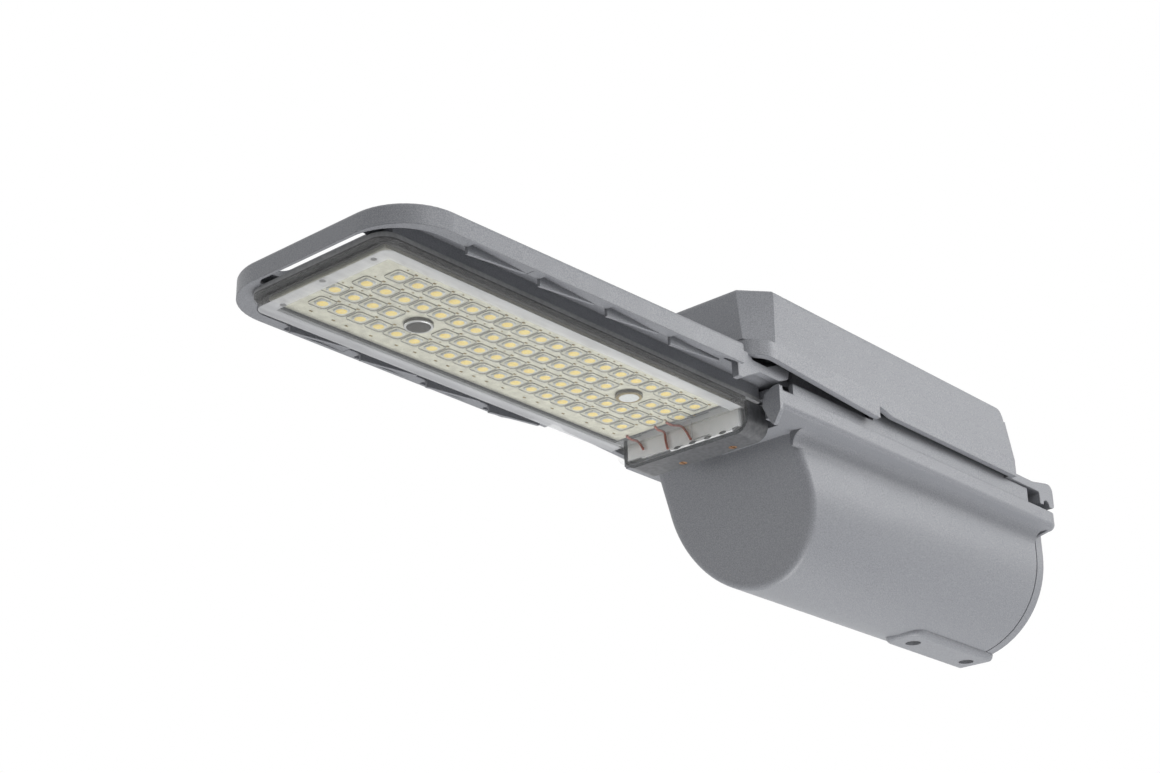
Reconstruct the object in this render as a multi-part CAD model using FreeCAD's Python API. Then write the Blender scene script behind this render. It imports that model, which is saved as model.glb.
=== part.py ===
import FreeCAD, Part
import math
import os

V = FreeCAD.Vector
UP = V(0, 0, 1)
ALONG = V(1, 0, 0)
ACROSS = V(0, 1, 0)

# An LED street light head for a horizontal 60 mm pole spigot.
# Origin: centre of the pole socket's mouth, on its axis. X runs towards the pole, Z is up.
# Heights are given above the lens face and lengths back from the lens tip, unless said otherwise.
# What lies behind the module is placed from the module's length.

# Pole socket in the lower casting
SOCKET_R = 30.5
SOCKET_DEPTH = 80.0
SOCKET_WALL = 4.0
SOCKET_END = 3.0
CABLE_HOLE_R = 9.0
LENS_Z = 23.3
WALL = 3.0
FIT = 0.3

# LED module
LED_PITCH = 10.42
LED_ROW_PITCH = 13.3
LED_COUNT = 20
LED_START = 14.85
LED_TAIL = 5.96
CHIP = 3.2
CHIP_T = 0.8
LENS_LEN = LED_START + (LED_COUNT - 0.5) * LED_PITCH + LED_TAIL
LENS_HALF = 39.8
LENS_T = 1.2
LENS_WALL = 1.5
LENS_CORNER_R = 5.0
TRAY_H = 3.4
FLANGE_T = 1.2
FLANGE_SIDE = 1.2
FLANGE_TIP = 3.0
SEAL_RING_T = 0.8
SEAL_RING_W = 2.4
PLATE_T = 2.0
BOARD_T = 1.6
BOARD_HALF = 34.5
BOARD_TIP = 4.0
BOARD_GAP = 3.0
OPTIC_SHEET_T = 0.5
OPTIC = 8.6
OPTIC_CROWN = 6.2
OPTIC_H = 1.9
OPTIC_R = 2.0
SCREW_RING_R = 6.4
SCREW_WELL_R = 4.6
LENS_SCREW_HEAD_R = 4.0
LENS_SCREW_HEAD_H = 1.0
LENS_SCREW_SHANK_R = 2.0
CHAMBER_LOW = -9.8
CHAMBER_HALF = 39.0
CHAMBER_FAR_HALF = 36.0
CHAMBER_R = 7.0
CHAMBER_FRONT = 3.5
CAP_END = LENS_LEN + 19.0
CAP_WALL = 2.0
CAP_SCREW_R = 2.0
CAP_SCREWS = ((CAP_END - 4.0, 9.0), (CAP_END - 3.5, -20.5))
COVER_FRONT = 2.2
COVER_LOW = -6.6
CONNECTORS = ((-34.5, -17.5), (-6.5, 24.0))
LEAD_R = 0.6
LEAD_START = LENS_LEN - 5.4

# Thin panel that carries the module, one casting with the hood
TIP_MARGIN = 8.5
PANEL_HALF_TIP = 57.6
PANEL_HALF_REAR = 60.6
PANEL_END = LENS_LEN - 26.0
RIM_LOW = 6.8
RIM_LOW_RISE = 1.0
PANEL_TOP = 16.2
PANEL_RISE = 2.1
PANEL_SKIN = 2.5
PANEL_CORNER_R = 27.0
PANEL_EDGE_R = 2.0
RIM_SIDE = 5.6
RIM_TIP = 1.6
RIM_SKIN = 1.4
TIP_FLAT_X = 12.0
TIP_FLAT_Y = 27.0
RIM_RISE = 4.6
RIM_RISE_START = LENS_LEN - 56.0
RIM_RISE_RUN = 24.0
TIP_SLOT_NEAR = 23.0
TIP_SLOT_FAR = 31.0
TIP_SLOT_CORNER = 5.0
PEDESTAL_HALF = 40.5
PEDESTAL_START = 2.0
PEDESTAL_SLOPE = 5.6
PEDESTAL_END = LENS_LEN + 11.0
PEDESTAL_FINS = 6
NECK_HALF = 49.0
SKIN_HALF = 55.0
NECK_END = LENS_LEN + 23.0
LOUVRE_FIRST = 30.5
LOUVRE_PITCH = 40.8
LOUVRE_COUNT = 4
LOUVRE_DROP = 3.2
LOUVRE_POCKET = 1.6
LOUVRE_WIDTH = 1.4
LOUVRE_LEN = 34.0

# Hood over the gear compartment
HOOD_FRONT = LENS_LEN - 19.7
HOOD_REAR = LENS_LEN + 202.3
HOOD_HALF = 63.5
HOOD_TOP = 52.3
HOOD_TOP_HALF = 61.3
HOOD_BAND = 23.5
HOOD_FRONT_HALF = 55.5
HOOD_FRONT_LEAN = 4.5
HOOD_REAR_LEAN = 4.8
HOOD_CHAMFER_RUN = 14.0
HOOD_TOP_CHAMFER_RUN = 13.5
HOOD_TOP_FRONT_HALF = 49.5
HOOD_TOP_R = 3.0
HOOD_REAR_R = 8.0
BAND_RUN = 8.6
BAND_R = 10.0
COVE_R = 9.0
SKIRT_FRONT_Z = 15.6
SKIRT_FRONT = LENS_LEN - 11.0
TAB_X = LENS_LEN + 77.0
TAB_Z = 10.8
TAB_STEP = 6.0
SKIRT_REAR_Z = 14.4
SKIRT_CURVE = 11.0
SHELF_Z = 30.0
DECK_TOP = 18.6
DECK_HALF = 60.0
DECK_END = LENS_LEN + 231.5
BAR_IN = 53.5
BAR_OUT = 57.0
BAR_LOW = 9.5
BAR_TOP = 13.9
HOOK_TOP = 17.6
HOOK_RUN = 8.5
BAR_START = LENS_LEN - 26.5
BAR_END = LENS_LEN + 13.2
TAB_PLATE_LOW = 3.0
TAB_PLATE_T = 3.5
BAR_ROOT = 16.5

# Lower casting: tub, lip, socket and clamp pad
MOUTH = LENS_LEN + 249.5
TUB_HALF = 48.0
TUB_LOW = -62.5
TUB_FRONT = LENS_LEN + 33.5
TUB_FRONT_HALF = 42.0
TUB_FRONT_LOW = -63.6
TUB_LEAN_DEG = 24.0
TUB_FRONT_R = 4.0
LIP_FRONT = LENS_LEN + 4.0
LIP_REAR = LENS_LEN + 251.5
LIP_FAR_FRONT = LENS_LEN + 61.0
LIP_HALF_FRONT = 57.3
LIP_HALF_REAR = 60.0
LIP_TOP = 5.7
LIP_LOW = -2.5
LIP_CORNER_R = 10.0
LIP_COVE_R = 7.0
LIP_SOFT_R = 2.5
LIP_REAR_CUT = 4.0
RIM_WALL_STEP = 1.0
RIM_WALL_T = 2.5
RIM_WALL_FRONT_Z = 12.0
RIM_WALL_REAR_Z = 17.0
RIM_WALL_FRONT = LENS_LEN + 16.0
RIM_WALL_FAR_STEP = 12.0
RIM_WALL_JOG = LENS_LEN + 80.0
RIM_WALL_HIGH_END = LENS_LEN + 198.0
RIM_WALL_DECK_Z = 14.0
RIM_WALL_END = LENS_LEN + 220.5
SEAL_FRONT = LENS_LEN + 23.0
SEAL_REAR = LENS_LEN + 199.0
SEAL_HALF = 51.5
SEAL_T = 3.5
SEAL_Z = 12.0
SEAL_LOW = 1.0
GASKET_H = 2.5
CHEEK_T = 2.5
CHEEK_IN = 47.3
CHEEK_TOP = 8.2
FRONT_WALL = LENS_LEN + 13.0
FRONT_WALL_NEAR = 49.5
FRONT_WALL_FAR = 32.0
NEST_HALF = 42.0
NEST_TOP = 7.8
SEAM_X = LENS_LEN + 242.6
SEAM_W = 0.8
SEAM_DEPTH = 0.9
SEAM_HEAD = 2.0
PAD_HALF = 11.5
PAD_FRONT = LENS_LEN + 176.0
PAD_LOW = -64.8
PAD_R = 3.0
CLAMP_X = (LENS_LEN + 189.6, LENS_LEN + 240.7)
CLAMP_R = 4.0
CLAMP_RECESS = 1.6

# Hinge at the rear corners
HINGE_X = LENS_LEN + 240.0
HINGE_Z = 14.2
HINGE_PIN_R = 2.5
HINGE_CLEAR = 0.05
KNUCKLE_FRONT = LENS_LEN + 231.0
KNUCKLE_REAR = LENS_LEN + 245.5
KNUCKLE_TOP = 21.2
KNUCKLE_LOW = 8.0
ARCH_X = LENS_LEN + 237.5
ARCH_R = 3.0
LUG_R = 7.2
KNUCKLE_IN = 52.0
KNUCKLE_OUT = 60.0
LUG_IN = 44.0
LUG_GAP = 0.4
PIN_COVER = 2.5

# Gear inside the compartment
DRIVER = (128.0, 60.0, 29.0)
DRIVER_START = LENS_LEN + 44.0
BRACKET_T = 2.0
BRACKET_EAR = 10.0
SCREW_R = 2.0
SCREW_HEAD_R = 4.0
SCREW_HEAD_H = 2.4
SCREW_BITE = 5.0
TRAY_Z = -34.0
TRAY_T = 2.0
TRAY_START = LENS_LEN + 68.0
TRAY_END = LENS_LEN + 162.0
TRAY_SCREW_Y = 30.0
TERMINAL = (34.0, 48.0, 20.0)
SURGE = (36.0, 34.0, 26.0)

# Derived places
TIP_X = -MOUTH
SOCKET_OUT_R = SOCKET_R + SOCKET_WALL
CEILING = PANEL_TOP - PANEL_SKIN
RIM_MID = RIM_LOW + RIM_LOW_RISE / 2
PLATE_LOW = TRAY_H + FLANGE_T + SEAL_RING_T
PLATE_HIGH = PLATE_LOW + PLATE_T
BOARD_LOW = PLATE_LOW - BOARD_T
AXIS_Z = -LENS_Z


def sx(length):
    """X of a length measured back from the lens tip."""
    return TIP_X + length


def sz(height):
    """Z of a height measured above the lens face."""
    return LENS_Z + height


def box(x0, x1, y0, y1, z0, z1):
    """Box between lengths, side distances and heights."""
    return Part.makeBox(x1 - x0, y1 - y0, z1 - z0, V(sx(x0), y0, sz(z0)))


def both(shape):
    """A shape and its mirror image across the light's middle."""
    return [shape, shape.mirror(V(0, 0, 0), ACROSS)]


def fused(shapes):
    """One solid from touching or overlapping shapes."""
    solid = shapes[0].fuse(shapes[1:]) if len(shapes) > 1 else shapes[0]
    return solid.removeSplitter()


def rounded_wire(points, radii):
    """Closed wire through the points, each corner rounded by its radius."""
    edges = []
    ends = []
    count = len(points)
    for i, point in enumerate(points):
        back = (points[i - 1] - point).normalize()
        ahead = (points[(i + 1) % count] - point).normalize()
        radius = radii[i]
        if radius <= 0:
            ends.append((point, None, point))
            continue
        half = back.getAngle(ahead) / 2
        run = radius / math.tan(half)
        middle = (back + ahead).normalize()
        centre = point + middle * (radius / math.sin(half))
        ends.append((point + back * run, centre - middle * radius, point + ahead * run))
    for i, (start, mid, end) in enumerate(ends):
        if mid is not None:
            edges.append(Part.Arc(start, mid, end).toShape())
        following = ends[(i + 1) % count][0]
        if end.distanceToPoint(following) > 1e-6:
            edges.append(Part.LineSegment(end, following).toShape())
    return Part.Wire(edges)


def plan(points, radii, z0, z1):
    """Upright prism on a plan outline of lengths and side distances."""
    corners = [V(sx(x), y, sz(z0)) for x, y in points]
    return Part.Face(rounded_wire(corners, radii)).extrude(V(0, 0, z1 - z0))


def side(points, radii, y0, y1):
    """Prism across the light on a side outline of lengths and heights."""
    corners = [V(sx(x), y0, sz(z)) for x, z in points]
    return Part.Face(rounded_wire(corners, radii)).extrude(V(0, y1 - y0, 0))


def front(points, radii, x0, x1):
    """Prism along the light on a front outline of side distances and heights."""
    corners = [V(sx(x0), y, sz(z)) for y, z in points]
    return Part.Face(rounded_wire(corners, radii)).extrude(V(x1 - x0, 0, 0))


def upright(x, y, z0, z1, r):
    """Upright cylinder."""
    return Part.makeCylinder(r, z1 - z0, V(sx(x), y, sz(z0)), UP)


def crosswise(x, z, y0, y1, r):
    """Cylinder across the light."""
    return Part.makeCylinder(r, y1 - y0, V(sx(x), y0, sz(z)), ACROSS)


def lengthwise(x0, x1, y, z, r):
    """Cylinder along the light."""
    return Part.makeCylinder(r, x1 - x0, V(sx(x0), y, sz(z)), ALONG)


def panel_half(x):
    """Half width of the panel at a length, wider towards the pole."""
    share = (x + TIP_MARGIN) / (PANEL_END + TIP_MARGIN)
    return PANEL_HALF_TIP + (PANEL_HALF_REAR - PANEL_HALF_TIP) * share


def lip_half(x):
    """Half width of the lower casting's lip at a length."""
    share = (x - LIP_FRONT) / (LIP_REAR - LIP_FRONT)
    return LIP_HALF_FRONT + (LIP_HALF_REAR - LIP_HALF_FRONT) * share


def panel_outline(inset_side, inset_tip, end, z0, z1):
    """Panel plan, narrowed by an inset at the sides and the tip."""
    tip = -TIP_MARGIN + inset_tip
    tip_half = panel_half(tip) - inset_side
    end_half = panel_half(end) - inset_side
    corner = PANEL_CORNER_R - max(inset_tip, inset_side) / 2
    points = [(tip, -tip_half), (end, -end_half), (end, end_half), (tip, tip_half)]
    return plan(points, [corner, 0, 0, corner], z0, z1)


def panel_wedge(start, rise, depth):
    """Wedge along the panel between a sloping plane and a level one."""
    slope = rise / (PANEL_END + TIP_MARGIN)
    x0, x1 = -TIP_MARGIN - 1, PANEL_END + 1
    return side([(x0, start - slope), (x1, start + rise + slope), (x1, start + depth), (x0, start + depth)],
                [0, 0, 0, 0], -HOOD_HALF, HOOD_HALF)


def inner_half(x):
    """Half width of the recess in the panel's underside."""
    return panel_half(x) - RIM_SIDE


def recess():
    """Hollow of the panel's underside, wider beside the latch, its far tip corner cut off."""
    tip = -TIP_MARGIN + RIM_TIP
    end = PANEL_END + 1
    wide = RIM_RISE_START + RIM_RISE_RUN
    points = [(tip, -inner_half(tip)), (RIM_RISE_START, -inner_half(RIM_RISE_START)),
              (wide, -panel_half(wide) + RIM_SKIN), (end, -panel_half(end) + RIM_SKIN),
              (end, inner_half(end)), (TIP_FLAT_X, inner_half(TIP_FLAT_X)), (tip, TIP_FLAT_Y)]
    corner = PANEL_CORNER_R - RIM_SIDE / 2
    return plan(points, [corner, 20, 10, 0, 0, 8, 4], RIM_LOW - 1, CEILING)


def panel():
    """Rim, recess, pedestal and louvres of the thin front panel."""
    body = panel_outline(0, 0, PANEL_END, RIM_LOW, PANEL_TOP + PANEL_RISE)
    body = body.cut([panel_wedge(PANEL_TOP, PANEL_RISE, PANEL_RISE + 3), panel_wedge(RIM_LOW, RIM_LOW_RISE, -1)])
    top_edges = []
    for edge in body.Edges:
        inside = edge.BoundBox
        if inside.ZMin > sz(PANEL_TOP) - 0.1 and inside.XMin < sx(PANEL_END) - 1:
            top_edges.append(edge)
    body = body.makeFillet(PANEL_EDGE_R, top_edges).cut(recess())
    rise_end = RIM_RISE_START + RIM_RISE_RUN
    high = RIM_LOW + RIM_RISE
    rise = side(
        [(RIM_RISE_START, RIM_LOW - 1), (PANEL_END + 1, RIM_LOW - 1), (PANEL_END + 1, high), (rise_end, high),
         (RIM_RISE_START, RIM_LOW + RIM_LOW_RISE)],
        [0, 0, 0, 20, 0], 0, HOOD_HALF)
    seat = lens_outline(-FLANGE_SIDE, RIM_LOW - 1, PLATE_HIGH, PEDESTAL_END, FLANGE_TIP - FLANGE_SIDE,
                        LENS_CORNER_R + FLANGE_TIP)
    body = body.cut([rise, seat])
    skin = box(PANEL_END - 6, HOOD_FRONT + WALL, -SKIN_HALF, SKIN_HALF, SKIRT_FRONT_Z,
               PANEL_TOP + PANEL_RISE - 0.2)
    neck = box(PANEL_END - 6, NECK_END, -NECK_HALF, NECK_HALF, CEILING, SKIRT_FRONT_Z + 1.5)
    pedestal = side(
        [(PEDESTAL_START, PLATE_HIGH), (PEDESTAL_END, PLATE_HIGH), (PEDESTAL_END, CEILING + 1),
         (PEDESTAL_START + PEDESTAL_SLOPE, CEILING + 1), (PEDESTAL_START, PLATE_HIGH + 2.5)],
        [0, 0, 0, 0, 0], -PEDESTAL_HALF, PEDESTAL_HALF)
    solid = fused([body, skin, neck, pedestal] + louvres())
    solid = solid.cut(louvre_pockets())
    slot_end = PEDESTAL_START + PEDESTAL_SLOPE
    slot = plan(
        [(-TIP_MARGIN + RIM_TIP, -TIP_SLOT_NEAR), (slot_end, -TIP_SLOT_NEAR), (slot_end, TIP_SLOT_FAR),
         (-TIP_MARGIN + RIM_TIP, TIP_SLOT_FAR)],
        [TIP_SLOT_CORNER] * 4, CEILING - 1, PANEL_TOP + 1)
    return solid.cut([slot] + pedestal_pockets())


def louvres():
    """Tapering lips along the inner edge of the rim, both sides."""
    lips = []
    for k in range(LOUVRE_COUNT):
        start = LOUVRE_FIRST + k * LOUVRE_PITCH
        edge = inner_half(start)
        wedge = side(
            [(start, RIM_MID + 1), (start, RIM_MID - LOUVRE_DROP), (start + LOUVRE_LEN, RIM_MID),
             (start + LOUVRE_LEN, RIM_MID + 1)],
            [0, 0, 0, 0], -edge - LOUVRE_WIDTH / 2, -edge + LOUVRE_WIDTH / 2)
        lips += both(wedge)
    return lips


def louvre_pockets():
    """Shallow ramps in the rim's underside beside each louvre."""
    pockets = []
    for k in range(LOUVRE_COUNT):
        start = LOUVRE_FIRST + k * LOUVRE_PITCH
        outer = panel_half(start) - 1.2
        inner = panel_half(start) - RIM_SIDE + LOUVRE_WIDTH / 2
        ramp = side(
            [(start, RIM_LOW - 1), (start + LOUVRE_LEN, RIM_LOW - 1), (start + LOUVRE_LEN, RIM_MID),
             (start, RIM_MID + LOUVRE_POCKET)],
            [0, 0, 0, 0], -outer, -inner)
        pockets += both(ramp)
    return pockets


def pedestal_pockets():
    """Hollows between the fins inside the pedestal, shut by the module plate."""
    pockets = []
    inner = 2 * (PEDESTAL_HALF - WALL)
    pitch = (inner + WALL) / PEDESTAL_FINS
    for k in range(PEDESTAL_FINS):
        left = -PEDESTAL_HALF + WALL + k * pitch
        pockets.append(box(PEDESTAL_START + PEDESTAL_SLOPE + WALL, PEDESTAL_END - WALL, left,
                           left + pitch - WALL, PLATE_HIGH - 1, CEILING - 1))
    return pockets


def hood_section(inset, z, share):
    """Plan of the hood at a height, from its band to its top."""
    front_x = HOOD_FRONT + HOOD_FRONT_LEAN * share + inset
    rear_x = HOOD_REAR - HOOD_REAR_LEAN * share - inset
    half = HOOD_HALF + (HOOD_TOP_HALF - HOOD_HALF) * share - inset
    front_half = HOOD_FRONT_HALF + (HOOD_TOP_FRONT_HALF - HOOD_FRONT_HALF) * share - inset / 2
    run = HOOD_CHAMFER_RUN + (HOOD_TOP_CHAMFER_RUN - HOOD_CHAMFER_RUN) * share
    points = [(front_x, -front_half), (front_x + run, -half), (rear_x, -half), (rear_x, half),
              (front_x + run, half), (front_x, front_half)]
    return rounded_wire([V(sx(x), y, sz(z)) for x, y in points], [0] * 6)


def band_block(inset, low, high):
    """Upright band round the hood's foot, its front corners rounded."""
    front_x = HOOD_FRONT + inset
    half = HOOD_HALF - inset
    front_half = HOOD_FRONT_HALF - inset / 2
    points = [(front_x, -front_half), (front_x + BAND_RUN, -half), (HOOD_REAR - inset, -half),
              (HOOD_REAR - inset, half), (front_x + BAND_RUN, half), (front_x, front_half)]
    return plan(points, [BAND_R, BAND_R, 0, 0, BAND_R, BAND_R], low, high)


def hood_block(inset, low, high):
    """Hood form: an upright band and a tapering top."""
    rise = (high - HOOD_BAND) / (HOOD_TOP - HOOD_BAND)
    top = Part.makeLoft([hood_section(inset, HOOD_BAND, 0), hood_section(inset, high, rise)], True, True)
    return band_block(inset, low, HOOD_BAND).fuse(top)


def soften_hood_top(shape):
    """Round the edges round the hood's flat top, more so at the rear."""
    edges = [edge for edge in shape.Edges if edge.BoundBox.ZMin > sz(HOOD_TOP) - 0.01]
    shape = shape.makeFillet(HOOD_TOP_R, edges)
    x = HOOD_REAR - HOOD_REAR_LEAN - HOOD_REAR_R
    z = HOOD_TOP - HOOD_REAR_R
    corner = box(x, x + HOOD_REAR_R + 2, -HOOD_HALF, HOOD_HALF, z, HOOD_TOP + 1)
    return shape.cut(corner.cut(crosswise(x, z, -HOOD_HALF - 1, HOOD_HALF + 1, HOOD_REAR_R)))


def skirt_cut():
    """Space under the hood's lower edge, with its hooked tab."""
    points = [(PANEL_END - 30, -5), (LIP_REAR + 20, -5), (LIP_REAR + 20, SKIRT_REAR_Z),
              (TAB_X + SKIRT_CURVE, SKIRT_REAR_Z), (TAB_X + 1, TAB_Z + TAB_STEP), (TAB_X, TAB_Z + TAB_STEP),
              (TAB_X, TAB_Z), (TAB_X - 5, TAB_Z), (SKIRT_FRONT, SKIRT_FRONT_Z),
              (HOOD_FRONT - 2, SKIRT_FRONT_Z)]
    return side(points, [0, 0, 0, 8, 0, 0, 0, 0, 0, 0], -HOOD_HALF - 5, HOOD_HALF + 5)


def hood():
    """Hollow hood, open below."""
    outer = soften_hood_top(hood_block(0, TAB_Z - 4, HOOD_TOP).removeSplitter())
    inner = hood_block(WALL, TAB_Z - 5, HOOD_TOP - WALL)
    return outer.cut(inner).cut(skirt_cut())


def sealing_wall():
    """Shelf inside the hood and the wall that presses the gasket."""
    low = SEAL_Z + GASKET_H + FIT
    wall = box(SEAL_FRONT, SEAL_REAR, -SEAL_HALF, SEAL_HALF, low, SHELF_Z + WALL)
    hole = box(SEAL_FRONT + WALL, SEAL_REAR - WALL, -SEAL_HALF + WALL, SEAL_HALF - WALL,
               low - 1, SHELF_Z + WALL + 1)
    shelf = hood_slab(WALL - 0.6, SHELF_Z, SHELF_Z + WALL)
    return fused([wall, shelf]).cut(hole)


def hood_slab(inset, low, high):
    """A level slice of the hood's form."""
    span = HOOD_TOP - HOOD_BAND
    wires = [hood_section(inset, z, (z - HOOD_BAND) / span) for z in (low, high)]
    return Part.makeLoft(wires, True, True)


def cove():
    """Hollow blend between the panel's top and the hood's front."""
    reach = COVE_R
    top = PANEL_TOP + PANEL_RISE - 0.4
    lean = HOOD_FRONT_LEAN / (HOOD_TOP - HOOD_BAND)
    half = HOOD_FRONT_HALF - 4
    start = V(sx(HOOD_FRONT - reach), -half, sz(top))
    corner = V(sx(HOOD_FRONT + 2), -half, sz(top))
    low = V(sx(HOOD_FRONT + 2), -half, sz(top + reach))
    end = V(sx(HOOD_FRONT + lean * 4), -half, sz(top + reach))
    mid = V(sx(HOOD_FRONT - reach * 0.32), -half, sz(top + reach * 0.26))
    edges = [Part.Arc(start, mid, end).toShape(), Part.LineSegment(end, low).toShape(),
             Part.LineSegment(low, corner).toShape(), Part.LineSegment(corner, start).toShape()]
    return Part.Face(Part.Wire(edges)).extrude(V(0, 2 * half, 0))


def latch_bar():
    """Latch on one side: a tab under the rim, a bar and the hook at its end."""
    top = SKIRT_FRONT_Z + 1
    points = [(BAR_START, top), (BAR_START + 0.8, TAB_PLATE_LOW), (BAR_START + TAB_PLATE_T, TAB_PLATE_LOW),
              (BAR_START + BAR_ROOT, BAR_LOW), (BAR_END - HOOK_RUN, BAR_LOW), (BAR_END - 1.5, BAR_LOW + 3),
              (BAR_END, HOOK_TOP), (BAR_END - HOOK_RUN, HOOK_TOP), (BAR_START + BAR_ROOT + 6, BAR_TOP),
              (BAR_START + 11.5, BAR_TOP), (BAR_START + 10, top)]
    return side(points, [0, 0.5, 1, 3, 3, 2, 1.5, 3, 3, 0.5, 0], -BAR_OUT, -BAR_IN)


def deck():
    """Low rear part of the upper casting, with the hinge knuckles at its corners."""
    start = HOOD_REAR - WALL
    plate = box(start, DECK_END, -DECK_HALF, DECK_HALF, DECK_TOP - WALL, DECK_TOP)
    arm = side(
        [(start, SKIRT_REAR_Z), (start, DECK_TOP), (KNUCKLE_FRONT - 6, DECK_TOP), (KNUCKLE_REAR - 6, KNUCKLE_TOP),
         (KNUCKLE_REAR, KNUCKLE_TOP), (KNUCKLE_REAR, KNUCKLE_LOW), (KNUCKLE_FRONT, KNUCKLE_LOW),
         (KNUCKLE_FRONT, SKIRT_REAR_Z)],
        [0, 0, 12, 4, 4, 2.5, 0.5, 1.5], -KNUCKLE_OUT, -KNUCKLE_IN)
    arch = crosswise(ARCH_X, KNUCKLE_LOW, -KNUCKLE_OUT - 1, KNUCKLE_OUT + 1, ARCH_R)
    reach = KNUCKLE_OUT - PIN_COVER + HINGE_CLEAR
    hole = crosswise(HINGE_X, HINGE_Z, -reach, reach, HINGE_PIN_R + HINGE_CLEAR)
    return fused([plate] + both(arm)).cut([arch, hole])


def upper_housing():
    """Upper casting: panel, hood, rear deck and hinge knuckles in one piece."""
    driver_bosses = []
    for x, y in driver_screw_places():
        driver_bosses.append(upright(x, y, driver_top(), HOOD_TOP - WALL + 1, SCREW_HEAD_R + 1))
    shell = fused([panel(), hood(), cove(), sealing_wall(), deck(), latch_bar()] + driver_bosses)
    holes = [upright(x, y, driver_top() - 1, driver_top() + SCREW_BITE, SCREW_R) for x, y in driver_screw_places()]
    holes.append(lead_way())
    return shell.cut(holes)


def lead_way():
    """Hole through the pedestal's rear for the module's leads."""
    return lengthwise(PEDESTAL_END - WALL - 1, PEDESTAL_END + 1, 0, (PLATE_HIGH + CEILING) / 2, 2.5)


def tub_wire(x, inset, top):
    """U-shaped outline of the tub at a length, narrower at the front."""
    share = (x - TUB_FRONT) / (MOUTH - TUB_FRONT)
    half = TUB_FRONT_HALF + (TUB_HALF - TUB_FRONT_HALF) * share
    low = TUB_FRONT_LOW + (TUB_LOW - TUB_FRONT_LOW) * share
    centre = low + half
    half -= inset
    low += inset
    points = [V(sx(x), -half, sz(top)), V(sx(x), -half, sz(centre)), V(sx(x), 0, sz(low)),
              V(sx(x), half, sz(centre)), V(sx(x), half, sz(top))]
    return Part.Wire([
        Part.LineSegment(points[0], points[1]).toShape(),
        Part.Arc(points[1], points[2], points[3]).toShape(),
        Part.LineSegment(points[3], points[4]).toShape(),
        Part.LineSegment(points[4], points[0]).toShape(),
    ])


def tub_body(inset, x0, x1, top):
    """Length of the tub's form, inset by a wall."""
    return Part.makeLoft([tub_wire(x0, inset, top), tub_wire(x1, inset, top)], True, True)


def front_cut(inset):
    """Everything ahead of the tub's leaning front face."""
    lean = math.tan(math.radians(TUB_LEAN_DEG))
    top = LIP_TOP + 40
    low = TUB_LOW - 10
    shift = inset / math.cos(math.radians(TUB_LEAN_DEG))
    return side([(TUB_FRONT - 100, low), (TUB_FRONT + shift - low * lean, low),
                 (TUB_FRONT + shift, 0), (TUB_FRONT + shift, top), (TUB_FRONT - 100, top)],
                [0, 0, 0, 0, 0], -HOOD_HALF, HOOD_HALF)


def tub_outer():
    """Outside of the tub, its front edge rounded."""
    body = tub_body(0, TUB_FRONT, MOUTH, LIP_TOP).cut(front_cut(0))
    edges = []
    for edge in body.Edges:
        reach = edge.BoundBox
        if reach.XMax < sx(TUB_FRONT + 40) and reach.ZMax < sz(1) and reach.ZLength > 1:
            edges.append(edge)
    return body.makeFillet(TUB_FRONT_R, edges)


def lip_plan(inset, near, far, rear, z0, z1, corner):
    """Plan of the lip between a near and a far front end and its rear."""
    points = [(near, -lip_half(near) + inset), (rear, -lip_half(rear) + inset), (rear, lip_half(rear) - inset),
              (far, lip_half(far) - inset), (far, 0), (near, 0)]
    return plan(points, [0, corner, corner, corner, 0, 0], z0, z1)


def lip():
    """Flange round the tub's top, its lower edge softened and its underside coved."""
    plate = lip_plan(0, LIP_FRONT, LIP_FAR_FRONT, LIP_REAR, LIP_LOW, LIP_TOP, LIP_CORNER_R)
    edges = []
    for edge in plate.Edges:
        reach = edge.BoundBox
        outer = reach.YMin > TUB_HALF or reach.YMax < -TUB_HALF or reach.XMin > sx(SEAM_X)
        if reach.ZMax < sz(LIP_LOW) + 0.01 and outer:
            edges.append(edge)
    plate = plate.makeFillet(LIP_SOFT_R, edges)
    slope = side([(LIP_REAR + 1, LIP_TOP - 1), (LIP_REAR + 1, LIP_LOW - 1), (LIP_REAR - LIP_REAR_CUT, LIP_LOW - 1)],
                 [0, 0, 0], -LIP_HALF_REAR - 1, LIP_HALF_REAR + 1)
    plate = plate.cut(slope)
    return [plate, cove_strip(-1, TUB_FRONT), cove_strip(1, LIP_FAR_FRONT)] + both(rear_blend())


def rear_blend():
    """Rounded form that joins the lip to the rear rim."""
    outer = LIP_HALF_REAR - 2.0
    inner = TUB_HALF - 1
    low = LIP_LOW - 2.3
    points = [(-outer, LIP_TOP - 3), (-outer, LIP_LOW + 2), (-outer + 4, LIP_LOW - 0.7), (-inner, low),
              (-inner, LIP_TOP - 3)]
    return front(points, [0, 2, 4, 0, 0], SEAM_X + SEAM_HEAD, SEAM_X + 2 * SEAM_HEAD)


def cove_strip(sign, start):
    """Hollow fillet between the lip's underside and the tub's side."""
    wires = []
    for x in (start, SEAM_X):
        share = (x - TUB_FRONT) / (MOUTH - TUB_FRONT)
        half = TUB_FRONT_HALF + (TUB_HALF - TUB_FRONT_HALF) * share
        r = LIP_COVE_R
        outer = V(sx(x), sign * (half + r), sz(LIP_LOW))
        lower = V(sx(x), sign * half, sz(LIP_LOW - r))
        back = V(sx(x), sign * (half - 1), sz(LIP_LOW - r))
        top = V(sx(x), sign * (half - 1), sz(LIP_LOW))
        dip = r * (1 - math.sqrt(0.5))
        mid = V(sx(x), sign * (half + dip), sz(LIP_LOW - dip))
        wires.append(Part.Wire([
            Part.Arc(outer, mid, lower).toShape(),
            Part.LineSegment(lower, back).toShape(),
            Part.LineSegment(back, top).toShape(),
            Part.LineSegment(top, outer).toShape(),
        ]))
    return Part.makeLoft(wires, True, True)


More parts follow.
